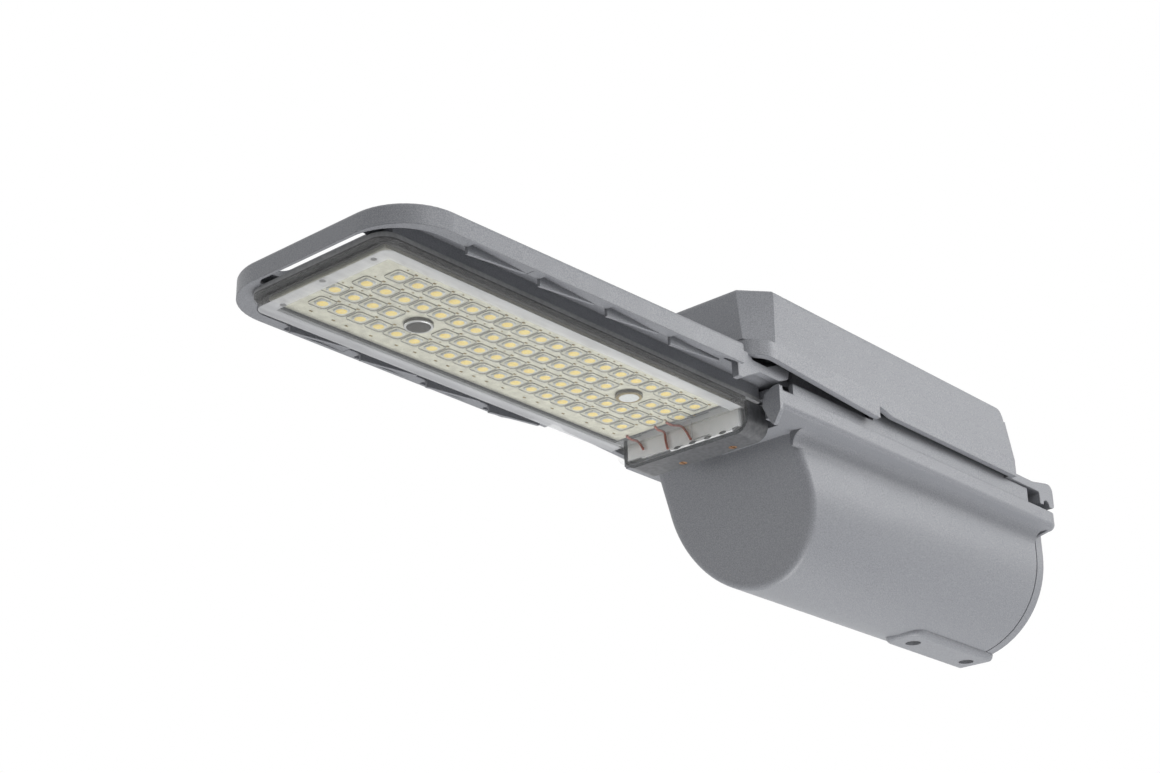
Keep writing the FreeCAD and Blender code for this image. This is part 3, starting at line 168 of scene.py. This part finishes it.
# Grain of the finishes: where the two tones stand, depth of the relief in metres,
# swing of the roughness, how much coarser the swing is, and stretch of the grain
TONE_STOPS = (0.35, 0.65)
RELIEF_DEPTH = 0.0001
EDGE_SAMPLES = 4
GLOSS_SWING = 0.06
GLOSS_COARSER = 20
EVEN = (1.0, 1.0, 1.0)
BRUSHED = (0.1, 1.0, 1.0)
STREAKED = (0.15, 1.0, 1.0)

# Clear plastics: how soon they thicken at a slant, their waves, and the streaks in the frosted border
SLANT_BLEND = 0.3
WAVE_SCALE = 60.0
WAVE_RELIEF = 0.03
WAVE_DEPTH = 0.0002
STREAK_SCALE = 220.0
STREAK_DETAIL = 3.0


def along(length):
    """X of a length behind the lens tip."""
    return length * MM + LENS_TIP_X


def over(height):
    """Z of a height over the lens face."""
    return height * MM + LENS_FACE_Z


def place(length, across, height):
    """Point on the module."""
    return Vector((along(length), across * MM, over(height)))


def material(name, colour, roughness, metallic=0.0):
    """Material with a plain shader."""
    made = bpy.data.materials.new(name)
    made.use_nodes = True
    shader = shader_of(made)
    for socket, value in (("Base Color", colour), ("Roughness", roughness), ("Metallic", metallic)):
        feed(made, shader.inputs[socket], value)
    return made


def shader_of(made):
    """The material's shader."""
    return made.node_tree.nodes["Principled BSDF"]


def feed(made, socket, value):
    """Links a socket to another one, or sets it to a number or a colour."""
    if isinstance(value, tuple):
        socket.default_value = (*value, 1.0)
    elif isinstance(value, (int, float)):
        socket.default_value = value
    else:
        made.node_tree.links.new(value, socket)


def math_node(made, operation, *values):
    """One sum on sockets or numbers."""
    node = made.node_tree.nodes.new("ShaderNodeMath")
    node.operation = operation
    for socket, value in zip(node.inputs, values):
        feed(made, socket, value)
    return node.outputs["Value"]


def rise(made, value, start=0.0, end=1.0, low=0.0, high=1.0):
    """Rises from low to high while a value goes from start to end."""
    node = made.node_tree.nodes.new("ShaderNodeMapRange")
    limits = {"Value": value, "From Min": start, "From Max": end, "To Min": low, "To Max": high}
    for name, limit in limits.items():
        feed(made, node.inputs[name], limit)
    return node.outputs["Result"]


def blend_colour(made, factor, first, second):
    """Mix of two colours, each a number triple or a socket."""
    tone = made.node_tree.nodes.new("ShaderNodeMix")
    tone.data_type = "RGBA"
    feed(made, tone.inputs["Factor"], factor)
    feed(made, tone.inputs["A"], first)
    feed(made, tone.inputs["B"], second)
    return tone.outputs["Result"]


def noise(made, scale, detail=2.0, stretch=EVEN):
    """Noise on object coordinates."""
    nodes, links = made.node_tree.nodes, made.node_tree.links
    coords = nodes.new("ShaderNodeTexCoord")
    stretched = nodes.new("ShaderNodeMapping")
    stretched.inputs["Scale"].default_value = stretch
    links.new(coords.outputs["Object"], stretched.inputs["Vector"])
    grain = nodes.new("ShaderNodeTexNoise")
    grain.inputs["Scale"].default_value = scale
    grain.inputs["Detail"].default_value = detail
    links.new(stretched.outputs["Vector"], grain.inputs["Vector"])
    return grain.outputs["Fac"]


def ramp(made, value, low, high):
    """Colour between two tones."""
    tones = made.node_tree.nodes.new("ShaderNodeValToRGB")
    for stop, position, colour in zip(tones.color_ramp.elements, TONE_STOPS, (low, high)):
        stop.position = position
        stop.color = (*colour, 1.0)
    feed(made, tones.inputs["Fac"], value)
    return tones.outputs["Color"]


def bump(made, value, strength, distance, edge=0.0):
    """Relief from a value, over softened edges where asked."""
    nodes, links = made.node_tree.nodes, made.node_tree.links
    relief = nodes.new("ShaderNodeBump")
    relief.inputs["Strength"].default_value = strength
    relief.inputs["Distance"].default_value = distance
    links.new(value, relief.inputs["Height"])
    if edge:
        soft = nodes.new("ShaderNodeBevel")
        soft.samples = EDGE_SAMPLES
        soft.inputs["Radius"].default_value = edge
        links.new(soft.outputs["Normal"], relief.inputs["Normal"])
    links.new(relief.outputs["Normal"], shader_of(made).inputs["Normal"])


def textured(name, low, high, roughness, scale, relief, metallic=0.0, edge=0.0, detail=2.0, stretch=EVEN):
    """Two-tone grain with a matching relief and a little variation in gloss."""
    made = material(name, low, roughness, metallic)
    shader = shader_of(made)
    grain = noise(made, scale, detail, stretch)
    feed(made, shader.inputs["Base Color"], ramp(made, grain, low, high))
    bump(made, grain, relief, RELIEF_DEPTH, edge)
    gloss = noise(made, scale / GLOSS_COARSER)
    swing = rise(made, gloss, low=roughness - GLOSS_SWING, high=roughness + GLOSS_SWING)
    feed(made, shader.inputs["Roughness"], swing)
    return made


def see_through(name, colour, roughness, facing, grazing):
    """Clear plastic: nearly open where it faces the eye, denser at a slant."""
    made = material(name, colour, roughness)
    slant = made.node_tree.nodes.new("ShaderNodeLayerWeight")
    slant.inputs["Blend"].default_value = SLANT_BLEND
    density = rise(made, slant.outputs["Facing"], low=facing, high=grazing)
    feed(made, shader_of(made).inputs["Alpha"], density)
    bump(made, noise(made, WAVE_SCALE), WAVE_RELIEF, WAVE_DEPTH)
    return made


def split(made, vector):
    """The X, Y and Z of a vector."""
    parts = made.node_tree.nodes.new("ShaderNodeSeparateXYZ")
    feed(made, parts.inputs["Vector"], vector)
    return parts.outputs


def wall_shade_share(made, level, spot):
    """1 on the tray's upright walls over its face, where the painted shade goes, else 0."""
    upright = math_node(made, "SUBTRACT", 1.0, level)
    return math_node(made, "MULTIPLY", upright, rise(made, spot["Z"], *map(over, WALL_FOOT)))


def border_share(made, level, spot):
    """1 on the level border at the tray's sides and tip, else 0."""
    side = math_node(made, "ABSOLUTE", spot["Y"])
    beside = rise(made, side, *(across * MM for across in BORDER_SIDE))
    ahead = rise(made, spot["X"], *map(along, BORDER_TIP))
    share = math_node(made, "MAXIMUM", beside, ahead)
    before_rear = rise(made, spot["X"], *map(along, BORDER_REAR))
    under_top = rise(made, spot["Z"], *map(over, BORDER_TOP))
    for limit in (level, before_rear, under_top):
        share = math_node(made, "MULTIPLY", share, limit)
    return share


def tray_clear():
    """Clear plastic of the tray: painted shade darkening its upright walls, and a pale frosted border
    round its face.
    """
    made = see_through("cover_clear", CLEAR, roughness=0.08, facing=0.02, grazing=0.14)
    surface = made.node_tree.nodes.new("ShaderNodeNewGeometry")
    coords = made.node_tree.nodes.new("ShaderNodeTexCoord")
    normal = split(made, surface.outputs["Normal"])
    spot = split(made, coords.outputs["Object"])
    level = rise(made, math_node(made, "ABSOLUTE", normal["Z"]), *LEVEL_NORMAL)
    wall = wall_shade_share(made, level, spot)
    border = border_share(made, level, spot)
    frost = ramp(made, noise(made, STREAK_SCALE, STREAK_DETAIL, STREAKED), FROST_DIM, FROST)
    bordered = blend_colour(made, border, CLEAR, frost)
    shader = shader_of(made)
    # The upright walls get a dark colour and more density: painted shade
    feed(made, shader.inputs["Base Color"], blend_colour(made, wall, bordered, PAINTED_WALL_SHADE))
    density = shader.inputs["Alpha"].links[0].from_socket
    density = math_node(made, "MULTIPLY_ADD", wall, WALL_DENSITY, density)
    density = math_node(made, "MULTIPLY_ADD", border, BORDER_DENSITY, density)
    feed(made, shader.inputs["Alpha"], density)
    return made


powder_coat = textured("powder_coat", PAINT_DARK, PAINT_LIGHT,
                       roughness=0.46, scale=2400.0, relief=0.25, edge=0.0006, detail=1.0)
steel = textured("steel", (0.5, 0.5, 0.5), (0.62, 0.62, 0.62),
                 roughness=0.3, scale=900.0, relief=0.05, metallic=1.0)
# Near-black: painted shade on the sunk screw's head
painted_screw_shade = textured("painted_screw_shade", (0.012, 0.01, 0.006), (0.05, 0.042, 0.03),
                      roughness=0.75, scale=1500.0, relief=0.2)
zinc = textured("zinc", (0.5, 0.5, 0.49), (0.66, 0.66, 0.65),
                roughness=0.38, scale=300.0, relief=0.05, metallic=1.0)
aluminium = textured("aluminium", (0.78, 0.79, 0.8), (0.88, 0.88, 0.89),
                     roughness=0.5, scale=700.0, relief=0.08, metallic=0.1, stretch=BRUSHED)
brass = textured("brass", (0.34, 0.18, 0.1), (0.5, 0.3, 0.16),
                 roughness=0.4, scale=800.0, relief=0.1, metallic=0.8)
rubber = textured("rubber", (0.1, 0.1, 0.1), (0.16, 0.16, 0.16),
                  roughness=0.6, scale=500.0, relief=0.2)
board_face = textured("board_face", (0.58, 0.57, 0.47), (0.72, 0.71, 0.59),
                      roughness=0.5, scale=260.0, relief=0.05)
phosphor = textured("phosphor", (1.0, 0.74, 0.17), (1.0, 0.82, 0.28),
                    roughness=0.5, scale=900.0, relief=0.2)
package_white = textured("package_white", (0.66, 0.68, 0.67), (0.76, 0.78, 0.77),
                         roughness=0.4, scale=900.0, relief=0.05)
part_tan = textured("part_tan", (0.2, 0.15, 0.06), (0.34, 0.27, 0.12),
                    roughness=0.5, scale=900.0, relief=0.1)
plate_grey = textured("plate_grey", (0.3, 0.305, 0.31), (0.36, 0.365, 0.37),
                      roughness=0.5, scale=700.0, relief=0.08, metallic=0.1)
spot_grey = textured("spot_grey", (0.2, 0.2, 0.2), (0.28, 0.28, 0.28),
                     roughness=0.5, scale=900.0, relief=0.1)
grey_plastic = textured("grey_plastic", (0.085, 0.087, 0.093), (0.125, 0.128, 0.135),
                        roughness=0.38, scale=500.0, relief=0.08)
white_plastic = textured("white_plastic", (0.86, 0.87, 0.87), (0.92, 0.92, 0.92),
                         roughness=0.4, scale=300.0, relief=0.04)
blue_plastic = textured("blue_plastic", (0.06, 0.14, 0.38), (0.09, 0.19, 0.46),
                        roughness=0.35, scale=300.0, relief=0.05)
lead_red = textured("lead_red", (0.3, 0.07, 0.05), (0.42, 0.12, 0.08),
                    roughness=0.4, scale=900.0, relief=0.1)
driver_case = textured("driver_case", (0.7, 0.7, 0.7), (0.78, 0.78, 0.78),
                       roughness=0.5, scale=300.0, relief=0.05)
optic_crown = see_through("optic_crown", (0.8, 0.82, 0.82), roughness=0.12, facing=0.06, grazing=0.2)
# Dark, nearly opaque upright walls of the clear lenses: painted shade
optic_wall_shade = see_through("optic_wall_shade", (0.06, 0.045, 0.012), roughness=0.2, facing=0.75, grazing=0.9)
cover_clear = tray_clear()

FINISHES = {
    "lower_housing": powder_coat,
    "upper_housing": powder_coat,
    "clamp_screws": steel,
    "hinge_pins": steel,
    "compartment_gasket": rubber,
    "gear_tray": zinc,
    "tray_screws": zinc,
    "terminal_block": white_plastic,
    "terminal_screws": zinc,
    "surge_protector": blue_plastic,
    "cable_grommet": rubber,
    "module_plate": plate_grey,
    "lens_gasket": rubber,
    "led_board": board_face,
    "led_chips": package_white,
    "lens_array": optic_crown,
    "lens_cover": cover_clear,
    "lens_screws": steel,
    "end_cap": grey_plastic,
    "cap_screws": brass,
    "terminal_covers": white_plastic,
    "lead_comb": white_plastic,
    "module_leads": lead_red,
    "led_driver": driver_case,
    "driver_bracket": aluminium,
    "driver_screws": zinc,
}
for name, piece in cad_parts.items():
    piece.data.materials.clear()
    piece.data.materials.append(FINISHES[name])


def finish_mesh(name, shape, finishes, body="upper_part", smooth=True):
    """Object from a bmesh, riding on a body."""
    mesh = bpy.data.meshes.new(name)
    bmesh.ops.recalc_face_normals(shape, faces=shape.faces)
    shape.to_mesh(mesh)
    shape.free()
    for finish in finishes:
        mesh.materials.append(finish)
    for face in mesh.polygons:
        face.use_smooth = smooth
    made = bpy.data.objects.new(name, mesh)
    bpy.context.scene.collection.objects.link(made)
    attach(made, body)
    return made


def ring(shape, points):
    """Loose vertices at the points, in order."""
    return [shape.verts.new(point) for point in points]


def skin(shape, lower, upper, index=0):
    """Faces between two rings."""
    count = len(lower)
    for i in range(count):
        face = shape.faces.new((lower[i], lower[(i + 1) % count], upper[(i + 1) % count], upper[i]))
        face.material_index = index


def skin_all(shape, rings, index=0):
    """Faces from each ring to the next."""
    for lower, upper in zip(rings, rings[1:]):
        skin(shape, lower, upper, index)


def cap(shape, points, centre, index=0):
    """Fan that closes a ring."""
    middle = shape.verts.new(centre)
    count = len(points)
    for i in range(count):
        face = shape.faces.new((points[i], points[(i + 1) % count], middle))
        face.material_index = index


def rounded_square(length, across, height, half, radius, sides):
    """Ring of a square with rounded corners."""
    points = []
    for corner in range(4):
        turn = math.pi / 2 * corner
        centre = Vector((half - radius, half - radius)) @ Matrix.Rotation(-turn, 2)
        for k in range(sides + 1):
            angle = turn + math.pi / 2 * k / sides
            points.append(place(length + centre.x + radius * math.cos(angle),
                                across + centre.y + radius * math.sin(angle), height))
    return points


def ellipse(wide, high, sides):
    """Pairs round an ellipse with the given half width and half height."""
    angles = [2 * math.pi * k / sides for k in range(sides)]
    return [(wide * math.cos(angle), high * math.sin(angle)) for angle in angles]


def circle(length, across, height, radius, sides):
    """Ring that lies level."""
    return [place(length + u, across + v, height) for u, v in ellipse(radius, radius, sides)]


def lathe(shape, length, across, profile, sides, index=0, top=None):
    """Turned form hanging down, from radius and height pairs, closed at its end or at a given top."""
    rings = [ring(shape, circle(length, across, height, radius, sides)) for radius, height in profile]
    skin_all(shape, rings, index)
    end = profile[-1][1] if top is None else top
    cap(shape, rings[-1], place(length, across, end), index)


def block(shape, length, across, size):
    """Small tapered box hanging from the board."""
    long, wide, deep = size
    rings = []
    for height, share in ((BOARD_LOW, 1.0), (BOARD_LOW - deep, PART_TAPER)):
        u, v = long / 2 * share, wide / 2 * share
        corners = ((-u, -v), (u, -v), (u, v), (-u, v))
        rings.append(ring(shape, [place(length + a, across + b, height) for a, b in corners]))
    skin_all(shape, rings)
    shape.faces.new(rings[-1])


def led_places():
    """Centre of each LED: staggered rows with gaps at the two screws and at two opposite corners."""
    places = []
    for row in range(LED_ROWS):
        across = (row - (LED_ROWS - 1) / 2) * LED_ROW_PITCH
        shift = LED_START + (0 if row % 2 == 0 else LED_PITCH / 2)
        for k in range(LED_COUNT):
            length = shift + k * LED_PITCH
            near_screw = any(abs(length - a) < LED_PITCH and abs(across - b) < LED_ROW_PITCH / 2
                             for a, b in SCREW_PLACES)
            missing = (row, k) in ((0, 0), (LED_ROWS - 1, LED_COUNT - 1))
            if not near_screw and not missing:
                places.append((length, across))
    return places


def add_optics():
    """Moulded lenses, one over each LED, and the collars round the screws, with painted shade on their
    upright walls.
    """
    shape = bmesh.new()
    crown, upright = 0, 1
    for length, across in led_places():
        rings = []
        for half, radius, height in LENS_RINGS:
            points = rounded_square(length, across, height, half, radius, SIDES_LENS)
            rings.append(ring(shape, points))
        skin(shape, rings[0], rings[1], upright)
        skin_all(shape, rings[1:], crown)
        cap(shape, rings[-1], place(length, across, LENS_DIMPLE), crown)
    for length, across in SCREW_PLACES:
        rings = [ring(shape, circle(length, across, height, radius, SIDES_COLLAR))
                 for radius, height in COLLAR]
        skin(shape, rings[0], rings[1], upright)
        skin_all(shape, rings[1:-1], crown)
        skin(shape, rings[-2], rings[-1], upright)
    made = finish_mesh("optics", shape, [optic_crown, optic_wall_shade])
    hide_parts("lens_array")


def add_leds():
    """White packages with a domed yellow emitter."""
    shape = bmesh.new()
    white, yellow = 0, 1
    for length, across in led_places():
        rings = []
        for height in (BOARD_LOW, PACKAGE_FACE):
            points = rounded_square(length, across, height, PACKAGE_HALF, PACKAGE_CORNER, SIDES_PACKAGE)
            rings.append(ring(shape, points))
        skin_all(shape, rings, white)
        cap(shape, rings[-1], place(length, across, PACKAGE_FACE), white)
        lathe(shape, length, across, EMITTER, SIDES_ROUND, yellow, EMITTER_TOP)
    made = finish_mesh("led_packages", shape, [package_white, phosphor])
    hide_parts("led_chips")


def add_board_parts():
    """Small components and solder marks on the board, between the lenses and along its sides."""
    rng = random.Random(PART_SEED)
    shape = bmesh.new()
    for length, across in led_places():
        (behind, beside), size = LONG_PART
        block(shape, length + behind, across + beside, size)
        if rng.random() < SHORT_PART_SHARE:
            (behind, beside), size = SHORT_PART
            block(shape, length + behind, across + beside, size)
    for side in (-1, 1):
        length = EDGE_START
        while length < EDGE_END:
            across = side * (EDGE_ROW + rng.uniform(-EDGE_STRAY, EDGE_STRAY))
            block(shape, length, across, EDGE_PART_SIZE)
            length += rng.uniform(*EDGE_SPACING)
    finish_mesh("board_parts", shape, [part_tan], smooth=False)


def add_lens_screws():
    """The module's two screws, one sunk and one domed, both of the same steel: the sunk head is painted
    near-black as shade, the domed head white as a painted highlight.
    """
    shape = bmesh.new()
    white, dark, bright, tan = range(4)
    sunk, domed = SCREW_PLACES
    lathe(shape, *sunk, SUNK_RING, SIDES_SCREW, bright)
    lathe(shape, *sunk, SUNK_HEAD, SIDES_SCREW, dark)
    lathe(shape, *domed, DOMED_RING, SIDES_SCREW, tan)
    # White domed head: painted highlight
    lathe(shape, *domed, DOMED_HEAD, SIDES_SCREW, white)
    made = finish_mesh("module_screws", shape, [package_white, painted_screw_shade, zinc, part_tan])
    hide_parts("lens_screws")


def add_terminal_bridge():
    """White bars beside and between the two covers over the board's connectors."""
    shape = bmesh.new()
    for span in BRIDGE_SPANS:
        rings = [ring(shape, [place(BRIDGE_START + a, across, b) for a, b in BRIDGE]) for across in span]
        skin_all(shape, rings)
        for points in rings:
            shape.faces.new(points)
    finish_mesh("terminal_bridge", shape, [white_plastic], smooth=False)


def add_comb_gap_shade():
    """Dark shapes painted into the openings between the comb's teeth, as their shade."""
    shape = bmesh.new()
    outline = ellipse(GAP_HALF_WIDTH, GAP_HALF_HEIGHT, SIDES_SMALL)
    for across in GAPS_ACROSS:
        rings = [ring(shape, [place(length, across + u, GAP_HEIGHT + v) for u, v in outline])
                 for length in GAP_ENDS]
        skin_all(shape, rings)
        shape.faces.new(rings[-1])
    finish_mesh("comb_gap_shade", shape, [rubber], smooth=False)


def add_border_spots():
    """Small grey studs under the pale border at the tip."""
    shape = bmesh.new()
    for length, across in STUDS:
        lathe(shape, length, across, STUD, SIDES_STUD)
    finish_mesh("border_spots", shape, [spot_grey], smooth=False)


def add_plug():
    """Small plug in the lower casting's side, by the socket's mouth."""
    shape = bmesh.new()
    length, across, height = PLUG_PLACE
    rings = []
    for radius, out in PLUG:
        pairs = ellipse(radius, radius, SIDES_ROUND)
        rings.append(ring(shape, [place(length + u, across + out, height + v) for u, v in pairs]))
    skin_all(shape, rings)
    shape.faces.new(rings[-1])
    finish_mesh("plug", shape, [powder_coat], body="lower_part", smooth=False)


def add_camera():
    """The camera, placed by its axes."""
    lens = bpy.data.cameras.new("camera")
    lens.sensor_width = SENSOR
    lens.lens = FOCAL_PIXELS / IMAGE_WIDTH * SENSOR
    lens.clip_start = CAMERA_NEAR
    made = bpy.data.objects.new("camera", lens)
    right, up, ahead = Vector(CAMERA_RIGHT), Vector(CAMERA_UP), Vector(CAMERA_AHEAD)
    turn = Matrix((right, up, -ahead)).transposed().to_4x4()
    made.matrix_world = Matrix.Translation(CAMERA_PLACE) @ turn
    bpy.context.scene.collection.objects.link(made)
    bpy.context.scene.camera = made


def where_seen(made, low, high):
    """High for the rays that show the background, which are camera, glossy and transmission, else low."""
    path = made.node_tree.nodes.new("ShaderNodeLightPath")
    seen = path.outputs["Is Camera Ray"]
    for other in ("Is Glossy Ray", "Is Transmission Ray"):
        seen = math_node(made, "MAXIMUM", seen, path.outputs[other])
    return rise(made, seen, low=low, high=high)


def add_floor():
    """Pale floor far below the head."""
    bpy.ops.mesh.primitive_plane_add(size=FLOOR_SIZE, location=(0, 0, -FLOOR_BELOW))
    floor = bpy.context.object
    floor.name = "floor"
    pale = material("floor_pale", PALE, FLOOR_ROUGHNESS)
    shader = shader_of(pale)
    feed(pale, shader.inputs["Emission Color"], PALE)
    feed(pale, shader.inputs["Emission Strength"], where_seen(pale, 0.0, FLOOR_GLOW))
    floor.data.materials.append(pale)


def add_lamp(name, spot, target, size, power):
    """Soft area lamp aimed at a point."""
    data = bpy.data.lights.new(name, "AREA")
    data.size = size
    data.energy = power
    lamp = bpy.data.objects.new(name, data)
    lamp.location = spot
    lamp.rotation_mode = "QUATERNION"
    lamp.rotation_quaternion = (Vector(target) - Vector(spot)).to_track_quat("-Z", "Y")
    lamp.visible_camera = False
    bpy.context.scene.collection.objects.link(lamp)


def add_world():
    """Soft light, stronger from one side, and a white background."""
    world = bpy.data.worlds.new("world")
    world.use_nodes = True
    bpy.context.scene.world = world
    nodes = world.node_tree.nodes
    coords = nodes.new("ShaderNodeTexCoord")
    towards = nodes.new("ShaderNodeVectorMath")
    towards.operation = "DOT_PRODUCT"
    towards.inputs[1].default_value = Vector(SKY_TOWARDS).normalized()
    feed(world, towards.inputs[0], coords.outputs["Generated"])
    sky = rise(world, towards.outputs["Value"], -1.0, 1.0, SKY_DIM, SKY_BRIGHT)
    back = nodes["Background"]
    feed(world, back.inputs["Color"], WHITE)
    feed(world, back.inputs["Strength"], where_seen(world, sky, 1.0))


add_optics()
add_leds()
add_board_parts()
add_lens_screws()
add_terminal_bridge()
add_comb_gap_shade()
add_border_spots()
add_plug()
add_camera()
add_floor()
add_world()
for lamp in LAMPS:
    add_lamp(*lamp)
bpy.context.scene.view_settings.view_transform = "Standard"
